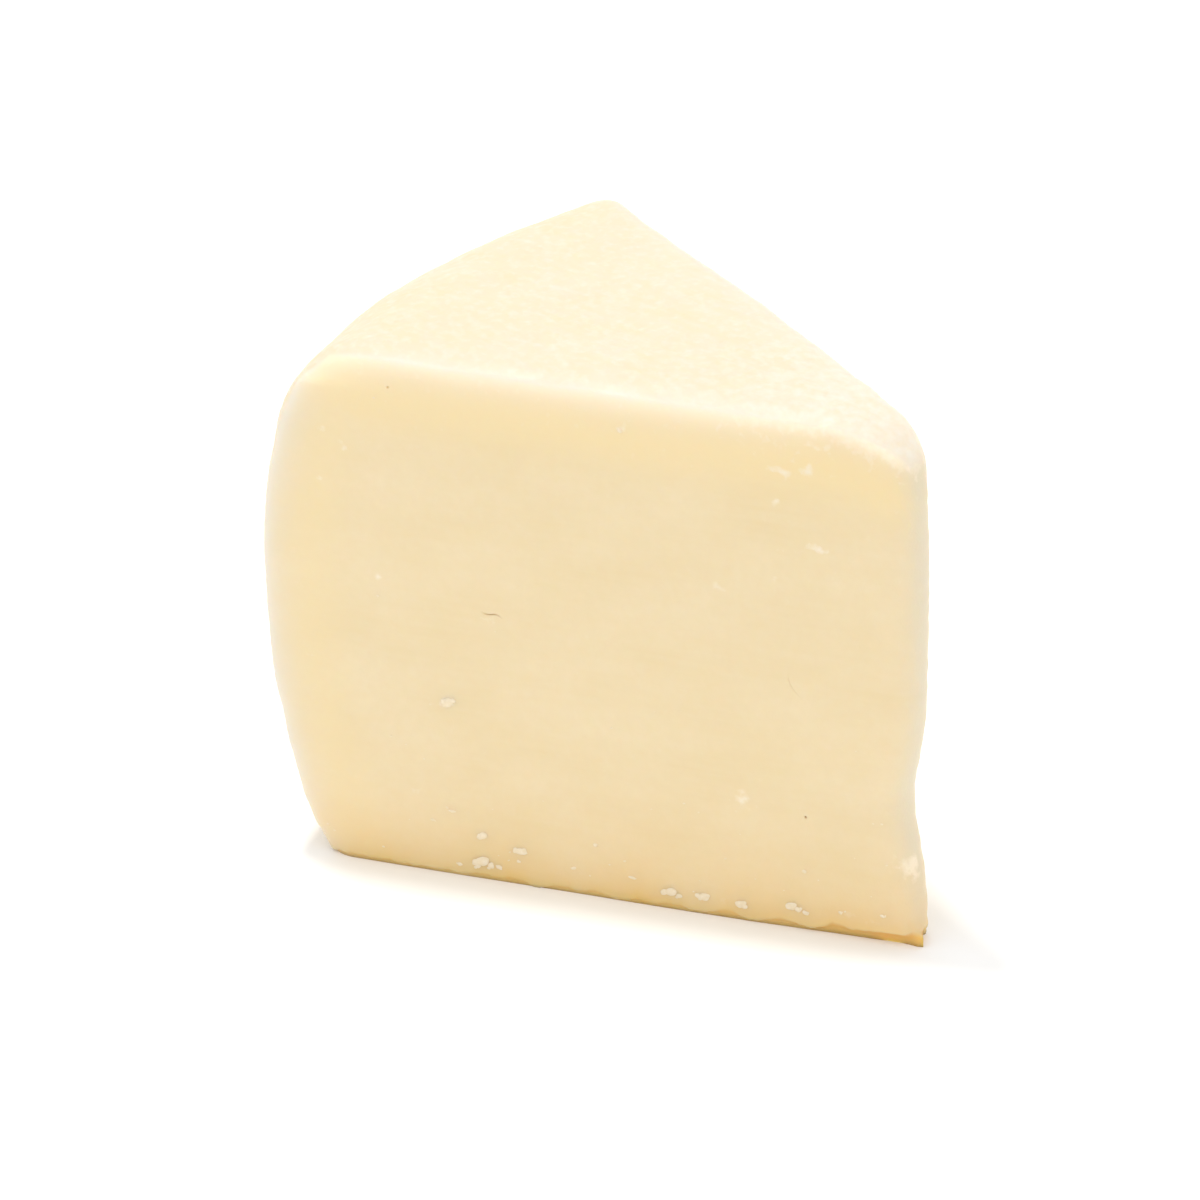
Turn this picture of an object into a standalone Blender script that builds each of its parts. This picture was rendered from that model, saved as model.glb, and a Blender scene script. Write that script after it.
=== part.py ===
"""A wedge of young pecorino, cut from a small pressed wheel and standing on its bottom rind.

The wheel is turned first, then two knife cuts leave one sector of it, and a third takes off the thin
tip. The paste is soft, so its edges are rounded and its tip is pressed in at the waist. The wheel is
turned a little too deep, and the last cut, flat along the board, leaves a crisp lower edge. Metres,
+Z up: the origin is on the board, on the wedge's middle line, +X points from the heel to the tip, and
the cut on the -Y side is the smooth one.
"""

import math

import bmesh
import bpy
from mathutils import Matrix, Vector, noise

# The wheel
WHEEL_HEIGHT = 0.0865
WHEEL_RADIUS = 0.1086  # at the widest line of the heel
WIDEST_AT = 0.0494  # height of that line
DRAW_IN_TOP = 0.0087  # how far the heel draws in from there to the top rind
DRAW_IN_BOTTOM = 0.0089  # and to the bottom rind
SHOULDER_RADIUS = 0.0165  # rounding between the heel and the top rind
FOOT_RADIUS = 0.0040  # rounding between the heel and the bottom rind
LIP_AT = 0.0055  # a low lip runs round the heel where the mould's base ended
LIP_PROUD = 0.00035
LIP_HALF_WIDTH = 0.0022
SPARE_BELOW = 0.005  # turned below the board's level, and cut off last

# The cuts
WEDGE_ANGLE = math.radians(41.3)
AXIS_X = 0.0590  # the wheel's axis, where the two cut planes meet
TIP_TRIM = 0.0065  # how far the trimmed tip stands from that axis

# What handling did to it
TOP_TILT = 0.026  # the top rind drops this much for each metre from the smooth cut to the far one
WORN_DEPTH = 0.0100  # and falls away round the tip, from WORN_REACH inwards
WORN_REACH = 0.0240
WAIST_AT = 0.0234  # height of the waist pressed into the tip
WAIST_DEPTH = 0.0025
WAIST_HALF_HEIGHT = 0.0093
TIP_LEAN = 0.0019  # how far the tip's top leans back
TOE_SPREAD = 0.0008  # how far the tip's foot spreads on the board
TOE_HEIGHT = 0.014  # up to this height
TIP_REACH = 0.040  # waist, lean and toe fade out this far from the axis
SWELL = 0.00045  # long, low unevenness of all the faces
SWELL_LENGTH = 0.028
RIND_RELIEF = 0.00022  # shorter unevenness of the top rind and the heel
RIND_RELIEF_LENGTH = 0.0065

# The lower edge of the smooth cut stands clear of the board
UNDERCUT_DEPTH = 0.0011
UNDERCUT_AT_HEEL = 0.0005
UNDERCUT_AT_TIP = 0.0019

# Fineness of the mesh
TURN_STEPS = 120
VOXEL = 0.0010
ROUNDING_PASSES = 46
TRIANGLES = 9600

PASTE_COLOUR = (0.90, 0.73, 0.46, 1.0)


def clear_scene():
    for obj in list(bpy.data.objects):
        bpy.data.objects.remove(obj, do_unlink=True)


def smoothstep(low, high, value):
    t = min(max((value - low) / (high - low), 0.0), 1.0)
    return t * t * (3 - 2 * t)


def new_object(name, mesh, collection):
    obj = bpy.data.objects.new(name, mesh)
    collection.objects.link(obj)
    return obj


def evaluated_mesh(obj):
    """The object's mesh with its modifiers applied, in world space."""
    graph = bpy.context.evaluated_depsgraph_get()
    mesh = bpy.data.meshes.new_from_object(obj.evaluated_get(graph))
    mesh.transform(obj.matrix_world)
    return mesh


# ---------------------------------------------------------------- the wheel


def heel_radius(z):
    """The heel bellies out: two parabolas that meet at its widest line, and the mould's lip."""
    if z > WIDEST_AT:
        drawn_in = DRAW_IN_TOP * ((z - WIDEST_AT) / (WHEEL_HEIGHT - WIDEST_AT)) ** 2
    else:
        drawn_in = DRAW_IN_BOTTOM * ((WIDEST_AT - z) / WIDEST_AT) ** 2
    lip = LIP_PROUD * math.exp(-(((z - LIP_AT) / LIP_HALF_WIDTH) ** 2))
    return WHEEL_RADIUS - drawn_in + lip


def rounding(z_centre, radius, start, end, steps=10):
    """Points round an arc that leaves the heel at the height z_centre."""
    centre_r = heel_radius(z_centre) - radius
    angles = [start + (end - start) * i / steps for i in range(steps + 1)]
    return [(centre_r + radius * math.cos(a), z_centre + radius * math.sin(a)) for a in angles]


def wheel_profile():
    """Half of the wheel's section, from the top of its axis down its outer side to the bottom."""
    shoulder_z = WHEEL_HEIGHT - SHOULDER_RADIUS
    heel_steps = 28
    heel_heights = [
        shoulder_z + (FOOT_RADIUS - shoulder_z) * i / heel_steps for i in range(1, heel_steps)
    ]
    return [
        (0.0, WHEEL_HEIGHT),
        *rounding(shoulder_z, SHOULDER_RADIUS, math.pi / 2, 0.0),
        *[(heel_radius(z), z) for z in heel_heights],
        *rounding(FOOT_RADIUS, FOOT_RADIUS, 0.0, -math.pi / 2),
        (heel_radius(FOOT_RADIUS) - FOOT_RADIUS, -SPARE_BELOW),
        (0.0, -SPARE_BELOW),
    ]


def make_wheel(collection):
    outline = bmesh.new()
    points = [outline.verts.new((r, 0.0, z)) for r, z in wheel_profile()]
    for upper, lower in zip(points, points[1:]):
        outline.edges.new((upper, lower))
    mesh = bpy.data.meshes.new("wheel")
    outline.to_mesh(mesh)
    outline.free()
    wheel = new_object("wheel", mesh, collection)
    wheel.location.x = AXIS_X
    turn = wheel.modifiers.new("turn", "SCREW")
    turn.angle = 2 * math.pi
    turn.steps = turn.render_steps = TURN_STEPS
    turn.use_merge_vertices = True
    turn.merge_threshold = 0.00001
    return wheel


# ---------------------------------------------------------------- the cuts


def make_knife(name, collection, through, away):
    """A block that takes off all that lies beyond the plane through a point, on the side that away points to."""
    size = 4 * WHEEL_RADIUS
    block = bmesh.new()
    bmesh.ops.create_cube(block, size=size)
    bmesh.ops.translate(block, verts=block.verts, vec=(size / 2, 0.0, 0.0))
    mesh = bpy.data.meshes.new(name)
    block.to_mesh(mesh)
    block.free()
    knife = new_object(name, mesh, collection)
    knife.location = through
    knife.rotation_euler = Vector((1.0, 0.0, 0.0)).rotation_difference(away).to_euler()
    knife.hide_render = True
    knife.display_type = "WIRE"
    return knife


def cut_with(obj, knife):
    cut = obj.modifiers.new(knife.name, "BOOLEAN")
    cut.operation = "DIFFERENCE"
    cut.object = knife


def cut_sector(wheel, collection):
    axis = Vector((AXIS_X, 0.0, 0.0))
    half = WEDGE_ANGLE / 2
    smooth_side = Vector((math.sin(half), -math.cos(half), 0.0))
    far_side = Vector((math.sin(half), math.cos(half), 0.0))
    forward = Vector((1.0, 0.0, 0.0))
    cut_with(wheel, make_knife("knife_smooth_side", collection, axis, smooth_side))
    cut_with(wheel, make_knife("knife_far_side", collection, axis, far_side))
    cut_with(wheel, make_knife("knife_tip", collection, axis - forward * TIP_TRIM, forward))


def soften(wheel):
    """Even small faces, then rounded edges, as soft paste has."""
    remesh = wheel.modifiers.new("even faces", "REMESH")
    remesh.mode = "VOXEL"
    remesh.voxel_size = VOXEL
    smooth = wheel.modifiers.new("rounded edges", "SMOOTH")
    smooth.factor = 0.5
    smooth.iterations = ROUNDING_PASSES


# ---------------------------------------------------------------- handling and wear


def worn_top(point):
    """How far the top rind drops: a little towards the far cut, and more round the tip."""
    r = math.hypot(point.x - AXIS_X, point.y)
    share = max(point.z, 0.0) / WHEEL_HEIGHT
    tilt = TOP_TILT * point.y * share
    fall = WORN_DEPTH * max(0.0, 1 - r / WORN_REACH) ** 2 * smoothstep(0.45, 1.0, share)
    return tilt + fall


def pressed_tip(point):
    """How far the tip moves towards the heel at this height: its waist and lean, less its toe."""
    r = math.hypot(point.x - AXIS_X, point.y)
    near_tip = max(0.0, 1 - (r / TIP_REACH) ** 2) ** 2
    waist = WAIST_DEPTH * math.exp(-(((point.z - WAIST_AT) / WAIST_HALF_HEIGHT) ** 2))
    lean = TIP_LEAN * max(point.z / WHEEL_HEIGHT, 0.0) ** 3
    toe = TOE_SPREAD * max(0.0, 1 - max(point.z, 0.0) / TOE_HEIGHT)
    return (waist + lean - toe) * near_tip


def on_rind(point):
    """1 on the top rind and the heel, 0 on the two cuts."""
    r = math.hypot(point.x - AXIS_X, point.y)
    from_heel = heel_radius(min(max(point.z, 0.0), WHEEL_HEIGHT)) - r
    from_top = WHEEL_HEIGHT - point.z
    return 1 - smoothstep(0.0015, 0.006, min(from_heel, from_top))


def unevenness(point):
    low = noise.noise(point / SWELL_LENGTH) * SWELL
    short = noise.noise(point / RIND_RELIEF_LENGTH) * RIND_RELIEF * on_rind(point)
    return low + short


def shape_by_hand(mesh):
    """Moves each point as wear and handling did."""
    normals = [Vector(item.vector) for item in mesh.vertex_normals]
    for vertex, normal in zip(mesh.vertices, normals):
        start = vertex.co.copy()
        vertex.co += normal * unevenness(start)
        vertex.co.x -= pressed_tip(start)
        vertex.co.z -= worn_top(start)
    mesh.update()


def make_undercut(collection):
    """A long sliver under the smooth cut's lower edge, thin at the heel and thicker at the tip."""
    half = WEDGE_ANGLE / 2
    length = WHEEL_RADIUS + 0.02
    past_the_face = 0.004
    sliver = bmesh.new()
    bmesh.ops.create_cube(sliver, size=1.0)
    for vertex in sliver.verts:
        at_heel = vertex.co.x < 0
        along = -length if at_heel else length * 0.1
        across = UNDERCUT_DEPTH if vertex.co.y > 0 else -past_the_face
        height = UNDERCUT_AT_HEEL if at_heel else UNDERCUT_AT_TIP
        vertex.co = Vector((along, across, height if vertex.co.z > 0 else -past_the_face))
    bmesh.ops.rotate(sliver, verts=sliver.verts, cent=(0, 0, 0), matrix=Matrix.Rotation(half, 3, "Z"))
    bmesh.ops.translate(sliver, verts=sliver.verts, vec=(AXIS_X, 0.0, 0.0))
    mesh = bpy.data.meshes.new("undercut")
    sliver.to_mesh(mesh)
    sliver.free()
    cutter = new_object("undercut", mesh, collection)
    cutter.hide_render = True
    cutter.display_type = "WIRE"
    return cutter


# ---------------------------------------------------------------- the finished wedge


def cheese_material():
    material = bpy.data.materials.new("pecorino")
    material.use_nodes = True
    surface = material.node_tree.nodes["Principled BSDF"]
    surface.inputs["Base Color"].default_value = PASTE_COLOUR
    surface.inputs["Roughness"].default_value = 0.5
    surface.inputs["Metallic"].default_value = 0.0
    return material


def build():
    clear_scene()
    shown = bpy.data.collections.new("pecorino wedge")
    cutters = bpy.data.collections.new("cutters")
    for collection in (shown, cutters):
        bpy.context.scene.collection.children.link(collection)

    wheel = make_wheel(shown)
    cut_sector(wheel, cutters)
    soften(wheel)
    bpy.context.view_layer.update()
    mesh = evaluated_mesh(wheel)
    bpy.data.objects.remove(wheel, do_unlink=True)

    shape_by_hand(mesh)
    mesh.name = "wedge"
    wedge = new_object("wedge", mesh, shown)
    thin = wedge.modifiers.new("fewer faces", "DECIMATE")
    thin.ratio = TRIANGLES / sum(len(face.vertices) - 2 for face in mesh.polygons)
    cut_with(wedge, make_knife("board", cutters, Vector(), Vector((0.0, 0.0, -1.0))))
    cut_with(wedge, make_undercut(cutters))
    mesh.materials.clear()
    mesh.materials.append(cheese_material())
    mesh.shade_smooth()


build()
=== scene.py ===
"""The looks of a wedge of young pecorino on a pale studio floor.

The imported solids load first, and each piece below is made in their frame: metres, +Z up, the origin on
the floor under the wedge, +X from the heel to the tip, and the smooth cut facing -Y.
"""

import math
import random

import bmesh
import bpy
from mathutils import Matrix, Vector, noise
from mathutils.bvhtree import BVHTree


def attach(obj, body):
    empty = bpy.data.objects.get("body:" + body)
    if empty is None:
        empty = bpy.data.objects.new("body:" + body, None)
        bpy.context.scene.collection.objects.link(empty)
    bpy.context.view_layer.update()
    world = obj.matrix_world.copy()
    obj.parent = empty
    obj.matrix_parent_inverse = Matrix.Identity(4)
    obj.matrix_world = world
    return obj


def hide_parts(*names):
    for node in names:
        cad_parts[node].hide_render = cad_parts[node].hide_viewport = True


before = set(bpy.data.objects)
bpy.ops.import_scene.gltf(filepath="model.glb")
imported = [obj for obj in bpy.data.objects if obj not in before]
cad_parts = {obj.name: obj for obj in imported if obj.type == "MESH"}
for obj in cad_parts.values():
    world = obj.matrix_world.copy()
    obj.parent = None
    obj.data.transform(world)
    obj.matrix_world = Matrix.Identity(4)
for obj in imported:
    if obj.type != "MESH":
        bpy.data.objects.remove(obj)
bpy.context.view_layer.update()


# ------------------------------------------------------------------ the wheel
# Sheep's milk curd pressed in a round mould: a low drum with a bellied heel, a well-rounded shoulder and a
# tighter foot. It is turned a little too deep, so that rounding the edges leaves the crisp foot alone.

WHEEL_HEIGHT = 0.0865
WHEEL_RADIUS = 0.1086  # at the widest line of the heel
AXIS = Vector((0.0590, 0.0, 0.0))
WIDEST_AT = 0.0494
DRAW_IN_TOP = 0.0087
DRAW_IN_BOTTOM = 0.0089
SHOULDER_RADIUS = 0.0165
FOOT_RADIUS = 0.0025
FOOT_BEVEL = 0.0014
FOOT_BEVEL_HEIGHT = 0.0055
LIP_AT = 0.0060
LIP_PROUD = 0.00035
LIP_HALF_WIDTH = 0.0022
SPARE_BELOW = 0.005
ROUNDING_STEPS = 10
HEEL_STEPS = 28
TURN_STEPS = 120
MERGE = 1e-6


def heel_radius(z):
    """The heel's belly of two parabolas that meet at its widest line, with the mould's lip and a bevel."""
    if z > WIDEST_AT:
        drawn_in = DRAW_IN_TOP * ((z - WIDEST_AT) / (WHEEL_HEIGHT - WIDEST_AT)) ** 2
    else:
        drawn_in = DRAW_IN_BOTTOM * ((WIDEST_AT - z) / WIDEST_AT) ** 2
    lip = LIP_PROUD * math.exp(-(((z - LIP_AT) / LIP_HALF_WIDTH) ** 2))
    bevel = FOOT_BEVEL * max(0.0, 1 - z / FOOT_BEVEL_HEIGHT)
    return WHEEL_RADIUS - drawn_in + lip - bevel


def rounding(z_centre, radius, start, end):
    """Points round an arc that leaves the heel at the height z_centre."""
    centre_r = heel_radius(z_centre) - radius
    angles = [start + (end - start) * i / ROUNDING_STEPS for i in range(ROUNDING_STEPS + 1)]
    return [(centre_r + radius * math.cos(a), z_centre + radius * math.sin(a)) for a in angles]


def wheel_section():
    """Half of the wheel's section, from the top of its axis down its outer side to the bottom."""
    shoulder_z = WHEEL_HEIGHT - SHOULDER_RADIUS
    heel = [shoulder_z + (FOOT_RADIUS - shoulder_z) * i / HEEL_STEPS for i in range(1, HEEL_STEPS)]
    return [
        (0.0, WHEEL_HEIGHT),
        *rounding(shoulder_z, SHOULDER_RADIUS, math.pi / 2, 0.0),
        *[(heel_radius(z), z) for z in heel],
        *rounding(FOOT_RADIUS, FOOT_RADIUS, 0.0, -math.pi / 2),
        (heel_radius(FOOT_RADIUS) - FOOT_RADIUS, -SPARE_BELOW),
        (0.0, -SPARE_BELOW),
    ]


def turn_wheel():
    wheel = bmesh.new()
    points = [wheel.verts.new(AXIS + Vector((r, 0.0, z))) for r, z in wheel_section()]
    for upper, lower in zip(points, points[1:]):
        wheel.edges.new((upper, lower))
    bmesh.ops.spin(
        wheel,
        geom=wheel.verts[:] + wheel.edges[:],
        cent=AXIS,
        axis=(0, 0, 1),
        angle=2 * math.pi,
        steps=TURN_STEPS,
        use_merge=True,
    )
    bmesh.ops.remove_doubles(wheel, verts=wheel.verts, dist=MERGE)
    bmesh.ops.recalc_face_normals(wheel, faces=wheel.faces)
    return wheel


# ------------------------------------------------------------------ the cuts
# Two strokes of a long knife free one sector of the wheel and a third trims its thin tip. The paste is
# soft, so its knife edges rounded off within hours: even small faces are smoothed until they do so too.

WEDGE_ANGLE = math.radians(41.3)
TIP_TRIM = 0.00625
HALF = WEDGE_ANGLE / 2
SMOOTH_CUT = Vector((math.sin(HALF), -math.cos(HALF), 0.0))  # each cut by the way that it faces
FAR_CUT = Vector((math.sin(HALF), math.cos(HALF), 0.0))
TIP_CUT = Vector((1.0, 0.0, 0.0))
TO_HEEL = Vector((-math.cos(HALF), -math.sin(HALF), 0.0))  # along the smooth cut, away from the tip
FACE_SIZE = 0.0008
SMOOTHING = 0.5  # how far each pass moves a point towards its neighbours' middle
ROUNDING_PASSES = 72
TOP_EDGE_REACH = 0.0060
TOP_EDGE_PASSES = 60
TOP_EDGE_FROM_TIP = 0.020


def cut_away(paste, through, facing):
    """Takes off all that lies beyond a plane and closes the cut."""
    cut = bmesh.ops.bisect_plane(
        paste,
        geom=paste.verts[:] + paste.edges[:] + paste.faces[:],
        dist=MERGE,
        plane_co=through,
        plane_no=facing,
        clear_outer=True,
    )
    rim = [piece for piece in cut["geom_cut"] if isinstance(piece, bmesh.types.BMEdge)]
    return bmesh.ops.edgeloop_fill(paste, edges=rim)["faces"]


def with_modifiers(solid, add_modifiers):
    """The mesh that a bmesh becomes under a few modifiers, as a new bmesh."""
    mesh = bpy.data.meshes.new("in work")
    solid.to_mesh(mesh)
    solid.free()
    carrier = bpy.data.objects.new("in work", mesh)
    bpy.context.scene.collection.objects.link(carrier)
    add_modifiers(carrier)
    bpy.context.view_layer.update()
    graph = bpy.context.evaluated_depsgraph_get()
    result = bmesh.new()
    result.from_object(carrier, graph)
    bpy.data.objects.remove(carrier, do_unlink=True)
    bpy.data.meshes.remove(mesh)
    return result


def even_faces_soft_edges(carrier):
    remesh = carrier.modifiers.new("even faces", "REMESH")
    remesh.mode = "VOXEL"
    remesh.voxel_size = FACE_SIZE
    smooth = carrier.modifiers.new("soft edges", "SMOOTH")
    smooth.factor = SMOOTHING
    smooth.iterations = ROUNDING_PASSES


def round_top_edge(paste):
    """The smooth cut's top edge was stroked rounder than the others, by a thumb."""
    edge = [
        vertex
        for vertex in paste.verts
        if -(vertex.co - AXIS).dot(SMOOTH_CUT) < TOP_EDGE_REACH
        and WHEEL_HEIGHT - vertex.co.z < TOP_EDGE_REACH
        and AXIS.x - vertex.co.x > TOP_EDGE_FROM_TIP
    ]
    for _ in range(TOP_EDGE_PASSES):
        bmesh.ops.smooth_vert(
            paste, verts=edge, factor=SMOOTHING, use_axis_x=True, use_axis_y=True, use_axis_z=True
        )


wheel = turn_wheel()
cut_away(wheel, AXIS, SMOOTH_CUT)
cut_away(wheel, AXIS, FAR_CUT)
cut_away(wheel, AXIS - TIP_CUT * TIP_TRIM, TIP_CUT)
paste = with_modifiers(wheel, even_faces_soft_edges)
round_top_edge(paste)


# ------------------------------------------------------------------ rind, paste and edge
# What each point of the surface is: rind outside, paste on the cuts, yellower just under the rind, and
# along the edges a pale margin, partly dried paste and partly painted highlight, reflection and shade, with
# a thin white crest. Painted shade lies over the foot. It follows from how deep the point lies.

MARGIN = 0.0024  # how far the pale margin fades into a face, and half as far near the tip; it is dried paste with painted highlight and shade
MARGIN_WIDENS = (0.008, 0.035)  # between these distances from the axis
MARGIN_STARTS = 0.0006
TIP_MARGIN = 0.0013  # the margin covers the narrow tip all over, and this far round its edges; its colour is painted shade
UNDER_RIND_AT = 0.0070  # the yellowest paste, below the top and inside the heel
UNDER_RIND_SPREAD = 0.0052
UNDER_HEEL = 0.6  # it is less yellow inside the heel
HEEL_REACH = 0.009  # the rind of the heel is the older and the warmer one
CREST = 0.0008
CREST_ENDS = (0.0015, 0.004)  # it is gone by this depth, which keeps it off the wedge's middle
RIND_BLEND = 0.0009
FOOT_SHADE_HEIGHT = 0.0085  # painted shade, darker and warmer towards the foot of the wedge
FOOT_SHADE_STRENGTH = 0.50  # and it is lighter than the painted shade in the recess below
FOOT_SHADE_TO_TIP = 9.0  # it grows by this much a metre towards the tip, up to
FOOT_SHADE_FULLEST_AT = 0.015
FOOT_SHADE_FALL = 1.2
FOOT_SHADE_PATCHES = 0.012
FOOT_SHADE_PATCHINESS = 0.4
LIP_HEIGHT = 0.0008  # where the smooth cut ends, over its thin recess
LIP_LINE_SHADE_HEIGHT = 0.0011  # the painted shade is strongest in a line above that
LIP_LINE_SHADE_STRENGTH = 0.22
LIP_LINE_SHADE_FROM_TIP = (0.02, 0.05)


def smoothstep(low, high, value):
    t = min(max((value - low) / (high - low), 0.0), 1.0)
    return t * t * (3 - 2 * t)


def from_axis(point):
    return math.hypot(point.x - AXIS.x, point.y)


def depths(point):
    """How deep a point lies under the nearest cut, under the top rind and under the heel's rind."""
    height = min(max(point.z, 0.0), WHEEL_HEIGHT)
    from_smooth = -(point - AXIS).dot(SMOOTH_CUT)
    from_far = -(point - AXIS).dot(FAR_CUT)
    from_tip = AXIS.x - TIP_TRIM - point.x
    from_heel = heel_radius(height) - from_axis(point)
    return min(from_smooth, from_far, from_tip), WHEEL_HEIGHT - point.z, from_heel


def corner_depth(point):
    """How deep a point lies under the second nearest of the cuts: small along the tip's two edges."""
    from_smooth = -(point - AXIS).dot(SMOOTH_CUT)
    from_far = -(point - AXIS).dot(FAR_CUT)
    return sorted((from_smooth, from_far, AXIS.x - TIP_TRIM - point.x))[1]


def faded(depth, reach):
    return math.exp(-max(depth, 0.0) / reach)


def under(depth):
    """How yellow the paste is at a depth under the rind."""
    return math.exp(-(((depth - UNDER_RIND_AT) / UNDER_RIND_SPREAD) ** 2))


def kinds_of_surface(point):
    """How much of each kind of surface a point is, each from 0 to 1."""
    from_cut, from_top, from_heel = depths(point)
    from_rind = min(from_top, from_heel)
    rind = smoothstep(-RIND_BLEND, RIND_BLEND, from_cut - from_rind)
    margin = MARGIN * (0.5 + 0.5 * smoothstep(*MARGIN_WIDENS, from_axis(point)))
    near_edge = 1 - smoothstep(*CREST_ENDS, max(from_cut, from_rind))
    # painted shade towards the foot, in patches and stronger towards the tip, and in a line above the lip
    patch = 1 + FOOT_SHADE_TO_TIP * min(point.x, FOOT_SHADE_FULLEST_AT)
    patch += FOOT_SHADE_PATCHINESS * noise.noise(point / FOOT_SHADE_PATCHES)
    foot_shade = FOOT_SHADE_STRENGTH * patch * math.exp(-((max(point.z, 0.0) / FOOT_SHADE_HEIGHT) ** FOOT_SHADE_FALL))
    lip_line_shade = LIP_LINE_SHADE_STRENGTH * faded(point.z - LIP_HEIGHT, LIP_LINE_SHADE_HEIGHT) * smoothstep(*LIP_LINE_SHADE_FROM_TIP, from_axis(point))
    return {
        "rind": rind,
        "heel": rind * faded(from_heel, HEEL_REACH),
        # the margins are dried paste, and their colours also carry painted light: highlight on the top
        # edge, reflection and shade at the sides, shade on the tip
        "top margin": faded(max(from_cut, from_top) - MARGIN_STARTS, margin),
        "side margin": faded(max(from_cut, from_heel) - MARGIN_STARTS, margin),
        "tip margin": faded(AXIS.x - TIP_TRIM - point.x, TIP_MARGIN),
        "under rind": max(under(from_top), UNDER_HEEL * under(from_heel)),
        "crest": near_edge * math.exp(-(((from_cut - from_rind) / CREST) ** 2)),
        "foot_shade": foot_shade + lip_line_shade * (1 - rind),
    }


# ------------------------------------------------------------------ finer faces where the detail is
# The top rind is streaked by the mould's cloth and its edges are crumbled. The smooth cut has a short crack
# where the curds parted, a fainter one near the tip and two pinholes. Faces are split before any move.

TOP_LEVEL = 0.070
FACES_UP = 0.6  # the upward part of a face's normal
ON_SMOOTH_CUT = 0.8  # and the part of it that points the cut's way
EDGE_REACH = 0.0022
DETAIL_REACH = 0.0013
CLOSE_REACH = 0.0005
CRACKS = (  # from and to (distance from the axis, height), arch, S-bend, half width and depth
    ((0.0737, 0.0461), (0.0706, 0.0456), 0.00006, -0.00020, 0.00008, 0.00030),
    ((0.0264, 0.0440), (0.0242, 0.0398), 0.00070, 0.0, 0.00008, 0.00008),
)
PINHOLES = (  # distance from the axis, height, and how open the hole is, up to 1
    (0.0880, 0.0812, 0.5),
    (0.0228, 0.0194, 1.0),
)
PINHOLE_RADIUS = 0.00014
PINHOLE_DEPTH = 0.0005
CRACK_STEPS = 12


def on_smooth_cut(along, height):
    """The point of the smooth cut at a distance from the axis and a height."""
    return AXIS + TO_HEEL * along + Vector((0.0, 0.0, height))


def crack_points(start, end, arch, s_bend):
    for i in range(CRACK_STEPS + 1):
        t = i / CRACK_STEPS
        along = start[0] + (end[0] - start[0]) * t
        height = start[1] + (end[1] - start[1]) * t
        bend = arch * math.sin(math.pi * t) + s_bend * math.sin(2 * math.pi * t)
        if abs(end[1] - start[1]) > abs(end[0] - start[0]):
            yield on_smooth_cut(along + bend, height)
        else:
            yield on_smooth_cut(along, height + bend)


def flat_distance(point, target):
    """Distance over the smooth cut, which leaves out how far the skin has swelled from its plane."""
    offset = point - target
    return (offset - SMOOTH_CUT * offset.dot(SMOOTH_CUT)).length


def distance_to_line(point, line):
    """Distance over the smooth cut to a chain of points, and how far along the chain from 0 to 1."""
    best = (1.0, 0.0)
    for i, (start, end) in enumerate(zip(line, line[1:])):
        stretch = end - start
        t = min(max((point - start).dot(stretch) / stretch.length_squared, 0.0), 1.0)
        best = min(best, (flat_distance(point, start + stretch * t), (i + t) / (len(line) - 1)))
    return best


crack_lines = [(list(crack_points(*path)), width, depth) for *path, width, depth in CRACKS]
pinholes = [(on_smooth_cut(along, height), open_share) for along, height, open_share in PINHOLES]


def split_faces(paste, wanted, cuts):
    edges = {edge for face in paste.faces if wanted(face) for edge in face.edges}
    bmesh.ops.subdivide_edges(paste, edges=list(edges), cuts=cuts, use_grid_fill=True)


def near_detail(face, reach):
    if face.normal.dot(SMOOTH_CUT) < ON_SMOOTH_CUT:
        return False
    centre = face.calc_center_median()
    near_crack = any(distance_to_line(centre, line)[0] < reach for line, _, _ in crack_lines)
    return near_crack or any(flat_distance(centre, hole) < reach for hole, _ in pinholes)


def on_top_or_edge(face):
    centre = face.calc_center_median()
    from_cut, from_top, from_heel = depths(centre)
    near_edge = max(from_cut, min(from_top, from_heel)) < EDGE_REACH
    return (face.normal.z > FACES_UP and centre.z > TOP_LEVEL) or near_edge


split_faces(paste, on_top_or_edge, 1)
split_faces(paste, lambda face: near_detail(face, DETAIL_REACH), 3)
split_faces(paste, lambda face: near_detail(face, CLOSE_REACH), 1)


# ------------------------------------------------------------------ the lip over the foot
# The smooth cut's lower edge stands proud of the bottom rind: a thin recess, higher at the tip, where it
# turns the corner. Two rings of edges mark the recess before it is pushed in and its lip is lifted.

LIP_THICKNESS = 0.0003
LIP_RISE = 0.00165  # more at the tip
LIP_RISE_REACH = 0.022
LIP_DEPTH = 0.00022
LIP_DEPTH_AT_TIP = 0.0010  # on top of the rest
RECESS_SHADE_TO_HEEL = 0.56  # its painted shade is lighter towards the heel
LIP_WAVE = 0.00125
LIP_WAVE_LENGTH = 0.0042
RIPPLE = 0.4  # of the wave's height
RIPPLE_COUNT = 3.1  # to one wave
WAVE_ROW = 7.0  # where the noise is read
RIPPLE_ROW = 19.0
FOOT_TRIM = 0.0048  # the tip is trimmed less at the very foot, and aslant
FOOT_SLANT = math.radians(35)
TIP_FOOT = Vector((math.cos(FOOT_SLANT), math.sin(FOOT_SLANT), 0.0))
LIP_SPREAD = 0.0035  # how far above the lip the paste follows it
WRAP = 0.7  # the recess runs on round the tip
WRAP_REACH = 0.015
WRAP_BLEND = 0.4
CORNER_FROM = 0.01  # the sharp corner is drawn where the recess at the tip is at least this strong
SQUARE_ENOUGH = 0.3


def ring_of_edges(paste, height):
    bmesh.ops.bisect_plane(
        paste,
        geom=paste.verts[:] + paste.edges[:] + paste.faces[:],
        dist=MERGE,
        plane_co=Vector((0.0, 0.0, height)),
        plane_no=Vector((0.0, 0.0, 1.0)),
    )


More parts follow.
